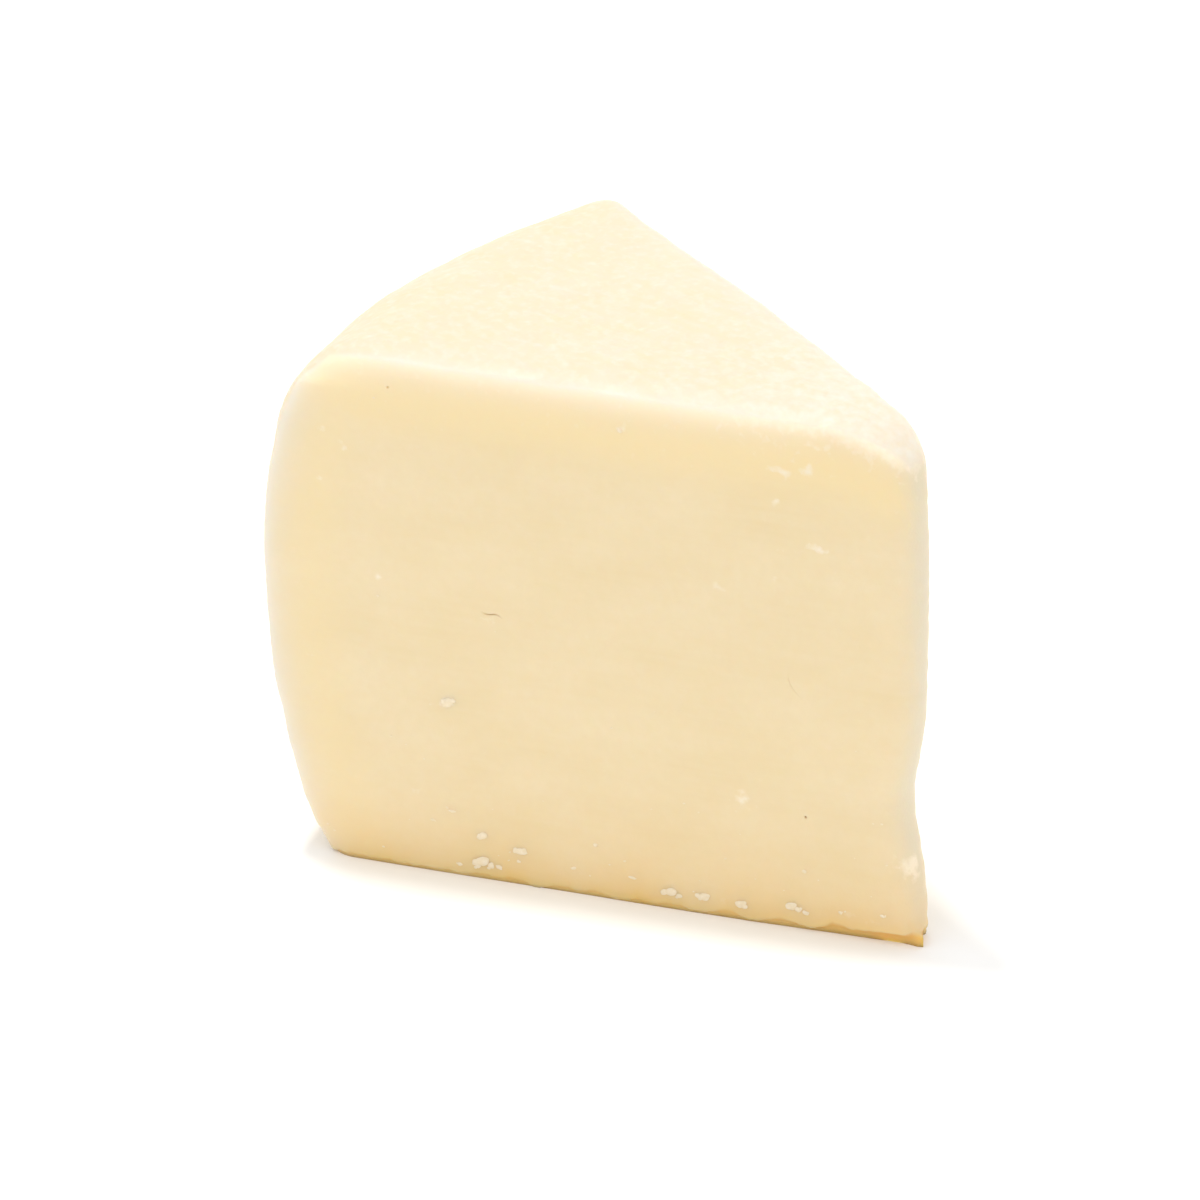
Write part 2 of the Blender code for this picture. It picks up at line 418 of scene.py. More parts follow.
ring_of_edges(paste, LIP_HEIGHT)
ring_of_edges(paste, LIP_HEIGHT - LIP_THICKNESS)


def to_sharp_corner(point, outward):
    """How far out the sharp corner at the foot of the tip lies from a point of the rounded one."""
    corner = AXIS + TO_HEEL * FOOT_TRIM
    faces = ((AXIS, SMOOTH_CUT), (AXIS, FAR_CUT), (corner, TIP_FOOT))
    return min(
        (-(point - through).dot(facing) / outward.dot(facing))
        for through, facing in faces
        if outward.dot(facing) > SQUARE_ENOUGH
    )


def lip_shift(point, normal):
    """How a point near the foot moves, and how much painted shade of the recess it gets, from 0 to 1."""
    outward = Vector((normal.x, normal.y, 0.0))
    along = max((point - AXIS).dot(TO_HEEL), 0.0)
    wrap = WRAP * math.exp(-((along / WRAP_REACH) ** 2))
    facing = smoothstep(-wrap, WRAP_BLEND - wrap, outward.dot(SMOOTH_CUT))
    above_lip = point.z - LIP_HEIGHT
    near_tip = math.exp(-((along / LIP_RISE_REACH) ** 2))
    wave = noise.noise(Vector((along / LIP_WAVE_LENGTH, WAVE_ROW, 0.0)))
    wave += RIPPLE * noise.noise(Vector((along / LIP_WAVE_LENGTH * RIPPLE_COUNT, RIPPLE_ROW, 0.0)))
    rise = wave * LIP_WAVE + LIP_RISE * near_tip
    follows = math.exp(-max(above_lip, 0.0) / LIP_SPREAD) * min(max(point.z / LIP_HEIGHT, 0.0), 1.0)
    shift = Vector((0.0, 0.0, rise * follows * facing))
    recess_shade = 0.0
    if above_lip < -LIP_THICKNESS / 2 and outward.length > 0:
        # the recess is painted as shade, lighter towards the heel
        recess_shade = facing * (RECESS_SHADE_TO_HEEL + (1 - RECESS_SHADE_TO_HEEL) * near_tip)
        outward.normalize()
        inward = LIP_DEPTH + LIP_DEPTH_AT_TIP * near_tip
        if facing * near_tip > CORNER_FROM:
            inward -= to_sharp_corner(point, outward) * near_tip
        shift -= outward * inward * facing
    return shift, recess_shade


# ------------------------------------------------------------------ wear and handling
# The top rind drops a little to the far cut and is worn down round the tip. A thumb's width above the
# board the tip is pressed in. Over it all lie the long swell of soft paste and the grain of each surface.

TOP_TILT = 0.026
WORN_DEPTH = 0.0100
WORN_REACH = 0.0240
WORN_FROM = 0.45  # of the height, below which nothing is worn down
WAIST_AT = 0.0234
WAIST_DEPTH = 0.0025
WAIST_HALF_HEIGHT = 0.0093
TIP_LEAN = 0.0019
TOE_SPREAD = 0.0008
TOE_HEIGHT = 0.014
TIP_REACH = 0.040
FULL_CORNERS = (  # on the far cut, at the heel and at the tip: place, and how much fuller
    (Vector((-0.0310, 0.0325, 0.0845)), 0.0007),
    (Vector((0.0466, 0.0042, 0.0835)), 0.0009),
)
FULL_CORNER_REACH = 0.0045
SWELL = 0.00045
SWELL_LENGTH = 0.028
RELIEF_FADES = (0.0015, 0.006)  # depths under the rind between which its relief ends
RIND_RELIEF = 0.00022
RIND_RELIEF_LENGTH = 0.0065
STREAK_TURN = math.radians(-74)  # the streaks of the cloth run across the wedge
STREAK_SIZE = Vector((0.0024, 0.0009, 0.0011))
STREAK_RELIEF = 0.00006
PEEL_SIZE = 0.0011
PEEL_RELIEF = 0.00003
CUT_WAVE_SIZE = Vector((0.020, 0.020, 0.0022))
CUT_WAVE = 0.00003
CREST_RELIEF = 0.00006
CRUMBLE_SIZE = 0.0021
CRUMBLE = 0.00016
CRUMBLY_NEAR_TIP = (0.012, 0.055)  # distances from the axis between which the crumbling ends
CRUMBLY_HEIGHTS = (0.8, 0.95)  # shares of the height between which it begins
CRUMBLY_ELSEWHERE = 0.2
CREST_WORN_OFF = 0.8
DUSTED = 0.80
DUSTED_EDGE = 1.10  # and how far the crumbs of the edge have whitened the paste below it
KNOBBLE_SIZE = 0.0019
KNOBBLE = 0.00022
CRACK_REACH = 6  # half widths
CRACK_TAPER = 0.06  # of its length at either end, where it stays open
DARK_FROM_DEPTH = 0.0005
ON_THE_CUT = 0.3  # the part of a point's normal that points the smooth cut's way
KINDS = (  # the attributes that the finish of the cheese reads
    *("rind", "heel", "top margin", "side margin", "tip margin", "under rind", "crest", "foot_shade"),
    *("recess_shade", "pit_shade", "fleck", "dust"),
)
FLECKS = (  # dry white marks: distance from the axis, height, half length and half height in mm, strength
    (21.9, 65.5, 2.0, 0.8, 1.0),
    (26.1, 64.0, 1.5, 0.6, 0.8),
    (23.4, 78.1, 1.5, 1.0, 1.1),
    (27.6, 77.4, 2.2, 0.9, 0.8),
    (28.5, 72.1, 1.2, 0.6, 0.9),
    (28.8, 59.0, 0.9, 0.8, 0.8),
    (37.0, 56.6, 1.2, 0.5, 0.9),
    (32.9, 21.1, 1.7, 1.9, 0.8),
    (89.9, 49.3, 0.9, 0.7, 0.8),
    (94.8, 70.2, 1.2, 0.7, 0.7),
    (97.9, 73.1, 0.6, 0.5, 0.8),
    (98.8, 64.5, 0.6, 0.5, 0.8),
    (101.0, 33.8, 0.6, 0.5, 0.8),
    (52.4, 80.5, 0.6, 0.5, 0.9),
    (84.2, 13.8, 0.9, 0.5, 0.7),
    (72.5, 45.4, 2.2, 1.0, 0.5),
    (7.2, 13.3, 1.5, 1.7, 1.5),
    (17.2, 3.4, 2.0, 0.7, 0.7),
    (13.4, 3.0, 1.6, 0.6, 0.7),
    (36.6, 2.2, 1.4, 0.7, 0.6),
    (79.3, 29.8, 1.3, 1.1, 1.5),
)


def worn_top(point):
    share = max(point.z, 0.0) / WHEEL_HEIGHT
    tilt = TOP_TILT * point.y * share
    near_tip = max(0.0, 1 - from_axis(point) / WORN_REACH)
    return tilt + WORN_DEPTH * near_tip**2 * smoothstep(WORN_FROM, 1.0, share)


def pressed_tip(point):
    near_tip = max(0.0, 1 - (from_axis(point) / TIP_REACH) ** 2) ** 2
    waist = WAIST_DEPTH * math.exp(-(((point.z - WAIST_AT) / WAIST_HALF_HEIGHT) ** 2))
    lean = TIP_LEAN * max(point.z / WHEEL_HEIGHT, 0.0) ** 3
    toe = TOE_SPREAD * max(0.0, 1 - max(point.z, 0.0) / TOE_HEIGHT)
    return (waist + lean - toe) * near_tip


def full_corner(point):
    """The top corners on the far cut were pressed less than the rest, and stand sharper."""
    return sum(
        fuller * math.exp(-(((point - corner).length / FULL_CORNER_REACH) ** 2))
        for corner, fuller in FULL_CORNERS
    )


def swell(point):
    """The unevenness that the solid has too."""
    to_heel = heel_radius(min(max(point.z, 0.0), WHEEL_HEIGHT)) - from_axis(point)
    near_rind = 1 - smoothstep(*RELIEF_FADES, min(to_heel, WHEEL_HEIGHT - point.z))
    low = noise.noise(point / SWELL_LENGTH) * SWELL
    return low + noise.noise(point / RIND_RELIEF_LENGTH) * RIND_RELIEF * near_rind


def stretched(point, size):
    return Vector((point.x / size.x, point.y / size.y, point.z / size.z))


def grain(point, rind, margin, crest):
    """Streaks and peel on the rind, the knife's long waves on the cuts, and the crumbled edges."""
    streaks = noise.noise(stretched(Matrix.Rotation(STREAK_TURN, 3, "Z") @ point, STREAK_SIZE))
    peel = noise.noise(point / PEEL_SIZE)
    waves = noise.noise(stretched(point, CUT_WAVE_SIZE))
    crumbled = max(0.0, noise.noise(point / CRUMBLE_SIZE)) * margin * crumbly(point)
    on_rind = (streaks * STREAK_RELIEF + peel * PEEL_RELIEF) * rind
    at_corner = faded(corner_depth(point), MARGIN)
    knobbles = noise.noise(point / KNOBBLE_SIZE) * KNOBBLE * at_corner
    on_cut = waves * CUT_WAVE * (1 - rind) + knobbles
    return on_rind + on_cut + crest * CREST_RELIEF - crumbled * CRUMBLE


def crumbly(point):
    """The top's edges near the tip are the most handled, and crumble most."""
    near_tip = 1 - smoothstep(*CRUMBLY_NEAR_TIP, from_axis(point))
    most = near_tip * smoothstep(*CRUMBLY_HEIGHTS, point.z / WHEEL_HEIGHT)
    return CRUMBLY_ELSEWHERE + (1 - CRUMBLY_ELSEWHERE) * most


def pits(point):
    """How deep the cracks and pinholes go here, and how much painted shade darkens them, from 0 to 1."""
    # dark is painted shade in the cracks and pinholes, stronger where they are deeper
    deep = 0.0
    dark = 0.0
    for line, width, depth in crack_lines:
        distance, along = distance_to_line(point, line)
        if distance < CRACK_REACH * width:
            opening = math.sin(math.pi * min(max(along, CRACK_TAPER), 1 - CRACK_TAPER))
            shape = math.exp(-((distance / width) ** 2)) * opening
            deep = max(deep, depth * shape)
            dark = max(dark, shape * min(1.0, depth / DARK_FROM_DEPTH))
    for hole, open_share in pinholes:
        shape = open_share * math.exp(-((flat_distance(point, hole) / PINHOLE_RADIUS) ** 2))
        deep = max(deep, PINHOLE_DEPTH * shape)
        dark = max(dark, shape)
    return deep, dark


def fleck_at(point):
    """How much of a white mark is here, from 0 to about 1."""
    along = (point - AXIS).dot(TO_HEEL) * 1000
    height = point.z * 1000
    marks = (
        strength * math.exp(-(((along - r) / half_length) ** 2) - ((height - z) / half_height) ** 2)
        for r, z, half_length, half_height, strength in FLECKS
    )
    return max(marks)


def shape_skin(paste):
    """Moves every point as wear, handling and grain did, and notes what each point is made of."""
    layers = {name: paste.verts.layers.float.new(name) for name in KINDS}
    paste.normal_update()
    moves = []
    for vertex in paste.verts:
        point, normal = vertex.co, vertex.normal
        kinds = kinds_of_surface(point)
        rind, crest = kinds["rind"], kinds["crest"]
        margin = max(kinds["top margin"], kinds["side margin"], kinds["tip margin"])
        worn = crumbly(point)
        fleck = dark = deep = 0.0
        if normal.dot(SMOOTH_CUT) > ON_THE_CUT:
            fleck = fleck_at(point)
            deep, dark = pits(point)
        shift, recess_shade = lip_shift(point, normal)
        outward = swell(point) + full_corner(point) + grain(point, rind, margin, crest) - deep
        move = normal * outward + shift
        move.x -= pressed_tip(point)
        move.z -= worn_top(point)
        moves.append(move)
        kinds["crest"] = crest * (1 - CREST_WORN_OFF * worn)
        # painted shade in the recess under the lip
        kinds["recess_shade"] = recess_shade
        # painted shade in the cracks and pinholes
        kinds["pit_shade"] = dark
        whitened = DUSTED_EDGE * worn * math.sqrt(kinds["top margin"]) * (1 - rind)
        kinds["fleck"] = max(fleck, whitened)
        kinds["dust"] = DUSTED * worn * rind
        for name in KINDS:
            vertex[layers[name]] = kinds[name]
    for vertex, move in zip(paste.verts, moves):
        vertex.co += move


shape_skin(paste)
foot = cut_away(paste, Vector(), Vector((0.0, 0.0, -1.0)))
for face in paste.faces:
    face.smooth = True
for face in foot:  # it stands flat on the board, with a crisp rim
    face.smooth = False


# ------------------------------------------------------------------ the finish of the cheese
# Pale ivory-yellow paste, faintly waxy, which light enters a few millimetres: clouded, marked by long
# strokes of the knife, with a whiter margin that is partly dried and partly painted highlight, reflection
# and shade. Painted shade darkens the foot, the recess, the cracks, the pinholes and the tip. The rind is
# creamier, streaked and dusted with white.

PASTE_DEEP = (0.738, 0.597, 0.350, 1)
PASTE_LIGHT = (0.775, 0.650, 0.430, 1)
UNDER_RIND_COLOUR = (0.805, 0.650, 0.360, 1)
# dried paste, with a painted highlight along the rounded top edge
TOP_MARGIN_COLOUR = (0.795, 0.740, 0.640, 1)
# dried paste, with a painted reflection of the white surroundings and painted shade at the grazing sides
SIDE_MARGIN_COLOUR = (0.700, 0.665, 0.575, 1)
# painted shade on the tip, which faces away from the lamp
TIP_SHADE_COLOUR = (0.645, 0.590, 0.465, 1)
CREST_COLOUR = (0.720, 0.665, 0.600, 1)
FLECK_COLOUR = (0.820, 0.730, 0.575, 1)
RIND_WARM = (0.680, 0.572, 0.370, 1)
RIND_WHITE = (0.695, 0.600, 0.475, 1)
HEEL_COLOUR = (0.640, 0.545, 0.345, 1)
# dried rind along the top edge, with a painted highlight
RIND_MARGIN_COLOUR = (0.690, 0.620, 0.535, 1)
DUST_COLOUR = (0.705, 0.655, 0.555, 1)
# painted shade at the foot, warm
FOOT_SHADE_COLOUR = (0.755, 0.480, 0.150, 1)
# painted shade in the recess under the lip
RECESS_SHADE_COLOUR = (0.770, 0.450, 0.120, 1)
# painted shade in the cracks and pinholes
PIT_SHADE_COLOUR = (0.420, 0.230, 0.080, 1)
CLOUDS = (60, 60, 110)  # how often each pattern repeats in a metre, along x, y and z
STROKES = (60, 60, 1100)
STREAKS = (160, 640, 640)
MOTTLES = 240  # and in all directions
CURDS = 650
DUSTING = 120
RAGGED = 700
SHEEN = 160
FINEST = 2600
STROKES_SHOW = 0.36  # how strongly each pattern or kind of surface shows
MOTTLES_SHOW = 0.25
CURDS_SHOW = 0.32
UNDER_RIND_SHOWS = 0.85
HEEL_SHOWS = 0.85
DUSTING_SHOWS = 0.3
RIND_MARGIN_SHOWS = 0.8
CREST_SHOWS = 0.35
LIGHT_THAT_ENTERS = 0.6
LIGHT_DEPTH = 0.0040  # of red light, and by colour
LIGHT_DEPTH_BY_COLOUR = (1.0, 0.70, 0.40)
REFRACTION = 1.45
FATTY = 0.42  # the roughness where the fat has come to the surface
MATT = 0.58
FINEST_RELIEF = 0.00012
FINEST_STRENGTH = 0.25


def add_node(tree, kind, settings=(), **inputs):
    """A node with its settings and inputs; an input is a number, a colour or another node's socket."""
    made = tree.nodes.new(kind)
    for name, value in dict(settings).items():
        setattr(made, name, value)
    for name, value in inputs.items():
        socket = made.inputs[int(name[1:])] if name[1:].isdigit() else made.inputs[name.replace("_", " ")]
        if isinstance(value, bpy.types.NodeSocket):
            tree.links.new(value, socket)
        else:
            socket.default_value = value
    return made


def attribute(tree, name):
    return add_node(tree, "ShaderNodeAttribute", {"attribute_name": name}).outputs["Fac"]


def noise_at(tree, coordinates, scale, detail=3.0):
    return add_node(
        tree, "ShaderNodeTexNoise", Vector=coordinates, Scale=scale, Detail=detail
    ).outputs["Fac"]


def stretch_of(tree, coordinates, turn, scale):
    mapping = add_node(tree, "ShaderNodeMapping", Vector=coordinates, Rotation=(0, 0, turn), Scale=scale)
    return mapping.outputs["Vector"]


def level(tree, value, low, high, to_low=0.0, to_high=1.0):
    return add_node(
        tree, "ShaderNodeMapRange", _0=value, _1=low, _2=high, _3=to_low, _4=to_high
    ).outputs["Result"]


def times(tree, first, second):
    return add_node(tree, "ShaderNodeMath", {"operation": "MULTIPLY"}, _0=first, _1=second).outputs[0]


def mix_colour(tree, share, first, second):
    return add_node(
        tree, "ShaderNodeMix", {"data_type": "RGBA"}, _0=share, _6=first, _7=second
    ).outputs[2]


def patches(tree, name, ragged, low, high):
    """Patches with ragged edges where an attribute is high, crisp if low and high are close."""
    total = add_node(tree, "ShaderNodeMath", {"operation": "ADD"}, _0=attribute(tree, name), _1=ragged)
    return level(tree, total.outputs[0], low, high)


def cheese_finish():
    material = bpy.data.materials.new("pecorino")
    material.use_nodes = True
    tree = material.node_tree
    surface = tree.nodes["Principled BSDF"]
    here = add_node(tree, "ShaderNodeTexCoord").outputs["Object"]

    clouds = level(tree, noise_at(tree, stretch_of(tree, here, 0.0, CLOUDS), 1.0, 5.0), 0.28, 0.72)
    strokes = level(tree, noise_at(tree, stretch_of(tree, here, 0.0, STROKES), 1.0), 0.3, 0.7)
    mottles = level(tree, noise_at(tree, here, MOTTLES, 4.0), 0.32, 0.68)
    curds = level(tree, noise_at(tree, here, CURDS), 0.3, 0.7)
    colour = mix_colour(tree, clouds, PASTE_DEEP, PASTE_LIGHT)
    colour = mix_colour(tree, times(tree, strokes, STROKES_SHOW), colour, PASTE_LIGHT)
    colour = mix_colour(tree, times(tree, mottles, MOTTLES_SHOW), colour, PASTE_LIGHT)
    colour = mix_colour(tree, times(tree, curds, CURDS_SHOW), colour, PASTE_DEEP)
    yellow = times(tree, attribute(tree, "under rind"), UNDER_RIND_SHOWS)
    colour = mix_colour(tree, yellow, colour, UNDER_RIND_COLOUR)
    # dried paste, with a painted highlight along the rounded top edge
    colour = mix_colour(tree, attribute(tree, "top margin"), colour, TOP_MARGIN_COLOUR)
    # dried paste, with a painted reflection of the white surroundings and painted shade at the grazing
    # sides
    colour = mix_colour(tree, attribute(tree, "side margin"), colour, SIDE_MARGIN_COLOUR)
    # painted shade on the tip, which faces away from the lamp
    colour = mix_colour(tree, attribute(tree, "tip margin"), colour, TIP_SHADE_COLOUR)

    streak_space = stretch_of(tree, here, -STREAK_TURN, STREAKS)
    streaks = level(tree, noise_at(tree, streak_space, 1.0, 4.0), 0.12, 0.94)
    dusting = level(tree, noise_at(tree, here, DUSTING, 5.0), 0.36, 0.64)
    rind_colour = mix_colour(tree, streaks, RIND_WARM, RIND_WHITE)
    older = times(tree, attribute(tree, "heel"), HEEL_SHOWS)
    rind_colour = mix_colour(tree, older, rind_colour, HEEL_COLOUR)
    rind_colour = mix_colour(tree, times(tree, dusting, DUSTING_SHOWS), rind_colour, RIND_WHITE)
    # dried rind along the top edge, with a painted highlight
    dry_and_highlit = times(tree, attribute(tree, "top margin"), RIND_MARGIN_SHOWS)
    rind_colour = mix_colour(tree, dry_and_highlit, rind_colour, RIND_MARGIN_COLOUR)
    colour = mix_colour(tree, attribute(tree, "rind"), colour, rind_colour)

    ragged = level(tree, noise_at(tree, here, RAGGED, 6.0), 0.3, 0.7, -0.5, 0.5)
    colour = mix_colour(tree, patches(tree, "fleck", ragged, 0.45, 1.20), colour, FLECK_COLOUR)
    dusty = times(tree, attribute(tree, "rind"), patches(tree, "dust", ragged, 0.1, 1.3))
    colour = mix_colour(tree, dusty, colour, DUST_COLOUR)
    crest = times(tree, attribute(tree, "crest"), CREST_SHOWS)
    colour = mix_colour(tree, crest, colour, CREST_COLOUR)
    # painted shade at the foot and in a line above the lip
    colour = mix_colour(tree, attribute(tree, "foot_shade"), colour, FOOT_SHADE_COLOUR)
    # painted shade in the recess under the lip
    colour = mix_colour(tree, attribute(tree, "recess_shade"), colour, RECESS_SHADE_COLOUR)
    # painted shade in the cracks and pinholes
    colour = mix_colour(tree, attribute(tree, "pit_shade"), colour, PIT_SHADE_COLOUR)
    tree.links.new(colour, surface.inputs["Base Color"])

    surface.inputs["Subsurface Weight"].default_value = LIGHT_THAT_ENTERS
    surface.inputs["Subsurface Radius"].default_value = LIGHT_DEPTH_BY_COLOUR
    surface.inputs["Subsurface Scale"].default_value = LIGHT_DEPTH
    surface.inputs["IOR"].default_value = REFRACTION
    sheen_of_fat = level(tree, noise_at(tree, here, SHEEN), 0.3, 0.7, FATTY, MATT)
    tree.links.new(sheen_of_fat, surface.inputs["Roughness"])
    finest = noise_at(tree, here, FINEST, 2.0)
    bump = add_node(
        tree, "ShaderNodeBump", Strength=FINEST_STRENGTH, Distance=FINEST_RELIEF, Height=finest
    )
    tree.links.new(bump.outputs["Normal"], surface.inputs["Normal"])
    return material


cheese_mesh = bpy.data.meshes.new("cheese")
paste.to_mesh(cheese_mesh)
paste.free()
cheese_mesh.materials.append(cheese_finish())
cheese = bpy.data.objects.new("cheese", cheese_mesh)
bpy.context.scene.collection.objects.link(cheese)
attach(cheese, "root")
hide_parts("wedge")


# ------------------------------------------------------------------ crumbs
# Crumbs and little flakes that the knife dragged along, stuck by their own fat low on the smooth cut, with
# finer ones scattered over both cuts. They are drier than the paste, so they are nearly white.

CRUMBS = (  # on the smooth cut: distance from the axis, height, length and width, all in millimetres
    (79.3, 29.8, 2.2, 1.9),
    (73.9, 3.1, 2.5, 2.0),
    (72.6, 2.5, 1.3, 1.2),
    (74.6, 2.2, 1.1, 0.9),
    (71.2, 2.5, 1.1, 0.9),
    (73.8, 7.6, 1.5, 1.4),
    (77.5, 2.0, 0.9, 0.7),
    (68.0, 5.8, 2.6, 1.2),
    (68.2, 4.0, 0.7, 0.5),
    (59.5, 4.4, 0.9, 0.6),
    (56.2, 9.0, 0.9, 0.7),
    (50.4, 4.4, 1.4, 0.6),
    (44.3, 3.0, 2.0, 1.7),
    (43.0, 2.6, 1.1, 0.9),
    (39.1, 3.1, 1.8, 1.5),
    (33.5, 2.8, 1.9, 1.5),
    (25.6, 3.9, 2.0, 1.6),
    (24.6, 3.5, 1.3, 1.0),
    (23.4, 3.1, 1.2, 0.8),
    (18.0, 4.1, 0.9, 0.6),
    (11.5, 4.7, 0.9, 0.6),
    (81.7, 9.1, 0.7, 0.6),
    (78.6, 11.1, 1.4, 0.5),
    (23.7, 10.2, 0.9, 0.7),
    (52.4, 80.5, 0.9, 0.7),
)
CRUMB_THICKNESS = 0.6  # of its width
CRUMB_SUNK = 0.16
CRUMB_TURN = 0.6
LUMPS = 0.15
LUMP_COUNT = 2.5  # bumps across a lump
FINE_LUMP_COUNT = 7
FINE_LUMPS = 0.4  # of the height of the larger ones
FEW_FACES_BELOW = 0.0007  # a lump narrower than this needs fewer
SEEN_FROM = 0.02
SMALLER_COUNTS = (1, 2, 3)  # how many smaller lumps lie against a larger one
SMALLER_ASIDE = 0.55  # of its length, at most
SMALLER_ABOVE = 0.4  # of its width
SMALLER_WIDTHS = (0.4, 0.65)  # of its width
SMALLER_STRETCH = 1.3
FINE_CRUMBS = 60
FINE_CRUMB_PLACES = (0.009, 0.100)  # from the axis
FINE_CRUMB_LOWEST = 0.0022
FINE_CRUMB_SPREAD = 0.010
FINE_CRUMB_HIGHEST = 0.080
FINE_CRUMB_WIDTHS = (0.0002, 0.00045)
FINE_CRUMB_STRETCH = 1.4
CRUMB_SEED = 5
CRUMB_COLOUR = (0.802, 0.695, 0.525, 1)
CRUMB_SHADE = (0.770, 0.645, 0.440, 1)
CHALK = 1500
CRUMB_ROUGHNESS = 0.7

skin = BVHTree.FromPolygons(
    [vertex.co for vertex in cheese_mesh.vertices],
    [face.vertices for face in cheese_mesh.polygons],
)
chance = random.Random(CRUMB_SEED)


def stick_lump(crumbs, start, facing, length, width):
    """Adds one lump on the skin that is met when looking from outside against a cut's facing."""
    spot, normal, _, _ = skin.ray_cast(start + facing * SEEN_FROM, -facing)
    if spot is None:
        return
    rounds = 2 if width < FEW_FACES_BELOW else 3
    lump = bmesh.ops.create_icosphere(crumbs, subdivisions=rounds, radius=0.5)["verts"]
    seed = Vector((chance.uniform(0, 50), chance.uniform(0, 50), chance.uniform(0, 50)))
    for vertex in lump:
        bumps = noise.noise(vertex.co * LUMP_COUNT + seed)
        bumps += FINE_LUMPS * noise.noise(vertex.co * FINE_LUMP_COUNT + seed)
        vertex.co *= 1 + LUMPS * bumps
    sizes = Matrix.Diagonal((length, width, width * CRUMB_THICKNESS, 1.0))
    spin = Matrix.Rotation(chance.uniform(-CRUMB_TURN, CRUMB_TURN), 4, "Z")
    across = Vector((0.0, 0.0, 1.0)).cross(normal).normalized()
    on_skin = Matrix((across, normal.cross(across), normal)).transposed().to_4x4()
    sunk = Matrix.Translation(spot - normal * width * CRUMB_SUNK)
    bmesh.ops.transform(crumbs, matrix=sunk @ on_skin @ spin @ sizes, verts=lump)


def stick_crumb(crumbs, along, height, length, width):
    """A crumb on the smooth cut: a larger lump with up to three smaller ones against it."""
    stick_lump(crumbs, on_smooth_cut(along, height), SMOOTH_CUT, length, width)
    for _ in range(chance.choice(SMALLER_COUNTS)):
        aside = chance.uniform(-SMALLER_ASIDE, SMALLER_ASIDE) * length
        above = chance.uniform(-SMALLER_ABOVE, SMALLER_ABOVE) * width
        size = chance.uniform(*SMALLER_WIDTHS) * width
        start = on_smooth_cut(along + aside, height + above)
        stick_lump(crumbs, start, SMOOTH_CUT, size * SMALLER_STRETCH, size)


crumbs = bmesh.new()
for sizes_mm in CRUMBS:
    stick_crumb(crumbs, *[size / 1000 for size in sizes_mm])
for i in range(FINE_CRUMBS):
    along = chance.uniform(*FINE_CRUMB_PLACES)
    height = FINE_CRUMB_LOWEST + chance.expovariate(1 / FINE_CRUMB_SPREAD)
    start = on_smooth_cut(along, min(height, FINE_CRUMB_HIGHEST))
    size = chance.uniform(*FINE_CRUMB_WIDTHS)
    on_far_cut = i % 3 == 0
    start.y *= -1 if on_far_cut else 1
    stick_lump(crumbs, start, FAR_CUT if on_far_cut else SMOOTH_CUT, size * FINE_CRUMB_STRETCH, size)
bmesh.ops.recalc_face_normals(crumbs, faces=crumbs.faces)


def crumb_finish():
    material = bpy.data.materials.new("dry crumb")
    material.use_nodes = True
    tree = material.node_tree
    surface = tree.nodes["Principled BSDF"]
    here = add_node(tree, "ShaderNodeTexCoord").outputs["Object"]
    chalky = level(tree, noise_at(tree, here, CHALK), 0.35, 0.65)
    colour = mix_colour(tree, chalky, CRUMB_SHADE, CRUMB_COLOUR)
    tree.links.new(colour, surface.inputs["Base Color"])
    surface.inputs["Roughness"].default_value = CRUMB_ROUGHNESS
    return material


crumbs_mesh = bpy.data.meshes.new("crumbs")
crumbs.to_mesh(crumbs_mesh)
crumbs.free()
crumbs_mesh.materials.append(crumb_finish())
crumbs_object = bpy.data.objects.new("crumbs", crumbs_mesh)
bpy.context.scene.collection.objects.link(crumbs_object)
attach(crumbs_object, "root")


# ------------------------------------------------------------------ the floor
# A wide sheet of matt white board that the wedge stands on. It has no edge in sight, and it is lit until
# it is as pale as the air behind it, so that only the wedge's soft shade shows where it lies.

FLOOR_HALF_SIZE = 4.0
FLOOR_COLOUR = (0.95, 0.95, 0.95, 1)
FLOOR_ROUGHNESS = 0.9

floor_mesh = bpy.data.meshes.new("floor")
sheet = bmesh.new()
bmesh.ops.create_grid(sheet, x_segments=1, y_segments=1, size=FLOOR_HALF_SIZE)
sheet.to_mesh(floor_mesh)
sheet.free()
board = bpy.data.materials.new("white board")
board.use_nodes = True
board_surface = board.node_tree.nodes["Principled BSDF"]
board_surface.inputs["Base Color"].default_value = FLOOR_COLOUR
board_surface.inputs["Roughness"].default_value = FLOOR_ROUGHNESS
floor_mesh.materials.append(board)
floor = bpy.data.objects.new("floor", floor_mesh)
bpy.context.scene.collection.objects.link(floor)


# ------------------------------------------------------------------ light
# White air on all sides, as in a tent of white cloth, and a round soft lamp high above, a little behind
# and to the left, which makes the top rind the lightest face and leaves a narrow shade at the foot.

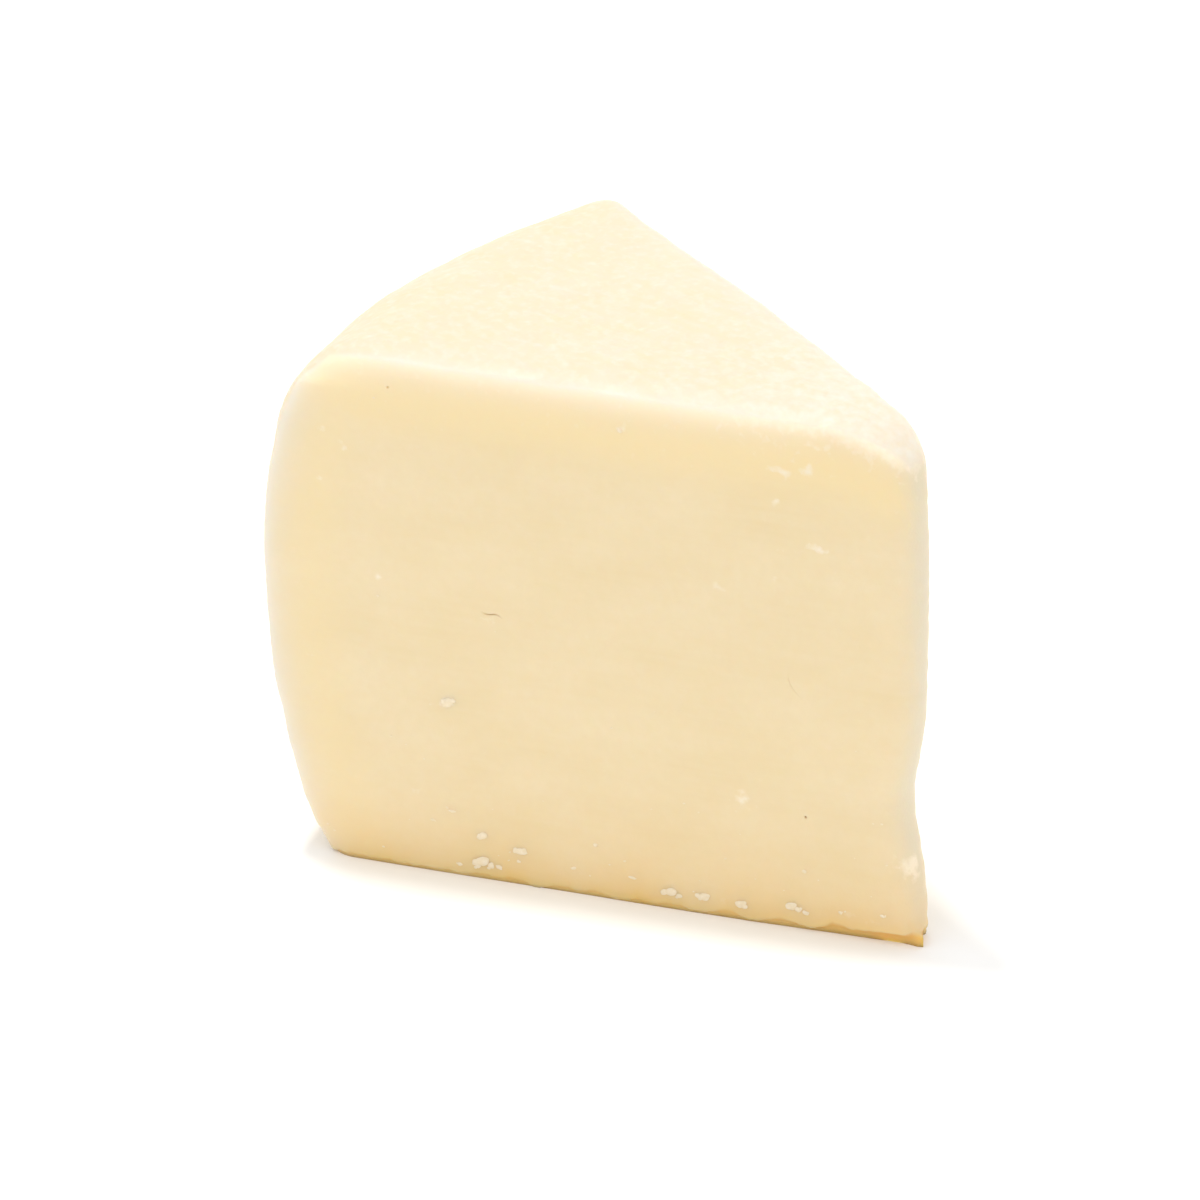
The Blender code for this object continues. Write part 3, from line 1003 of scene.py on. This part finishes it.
AIR_STRENGTH = 1.06
LAMP_POWER = 6.0
LAMP_SIZE = 0.12
LAMP_WAY = Vector((-0.190, -0.010, 1.0)).normalized()
LAMP_DISTANCE = 1.2

air = bpy.data.worlds.new("air")
air.use_nodes = True
air.node_tree.nodes["Background"].inputs["Color"].default_value = (1.0, 1.0, 1.0, 1.0)
air.node_tree.nodes["Background"].inputs["Strength"].default_value = AIR_STRENGTH
bpy.context.scene.world = air

lamp_data = bpy.data.lights.new("soft lamp", "AREA")
lamp_data.shape = "DISK"
lamp_data.size = LAMP_SIZE
lamp_data.energy = LAMP_POWER
lamp = bpy.data.objects.new("soft lamp", lamp_data)
lamp.location = LAMP_WAY * LAMP_DISTANCE
lamp.rotation_euler = (-LAMP_WAY).to_track_quat("-Z", "Y").to_euler()
bpy.context.scene.collection.objects.link(lamp)
bpy.context.scene.view_settings.view_transform = "Standard"


# ------------------------------------------------------------------ camera
# A long lens more than a metre away, thirty degrees above the floor. It looks mostly at the smooth cut and
# the top rind, past the tip on the right.

CAMERA_AZIMUTH = math.radians(37.76)
CAMERA_ELEVATION = math.radians(29.81)
CAMERA_DISTANCE = 1.2815
CAMERA_LENS = 265.2
SENSOR_WIDTH = 36.0
SEES_AS_FAR_AS = 50.0
LOOK_AT = Vector((0.0182, -0.0338, 0.0619))

towards_camera = Vector(
    (
        math.sin(CAMERA_AZIMUTH) * math.cos(CAMERA_ELEVATION),
        -math.cos(CAMERA_AZIMUTH) * math.cos(CAMERA_ELEVATION),
        math.sin(CAMERA_ELEVATION),
    )
)
camera_data = bpy.data.cameras.new("camera")
camera_data.lens = CAMERA_LENS
camera_data.sensor_width = SENSOR_WIDTH
camera_data.clip_end = SEES_AS_FAR_AS
camera = bpy.data.objects.new("camera", camera_data)
camera.location = LOOK_AT + towards_camera * CAMERA_DISTANCE
camera.rotation_euler = (-towards_camera).to_track_quat("-Z", "Y").to_euler()
bpy.context.scene.collection.objects.link(camera)
bpy.context.scene.camera = camera
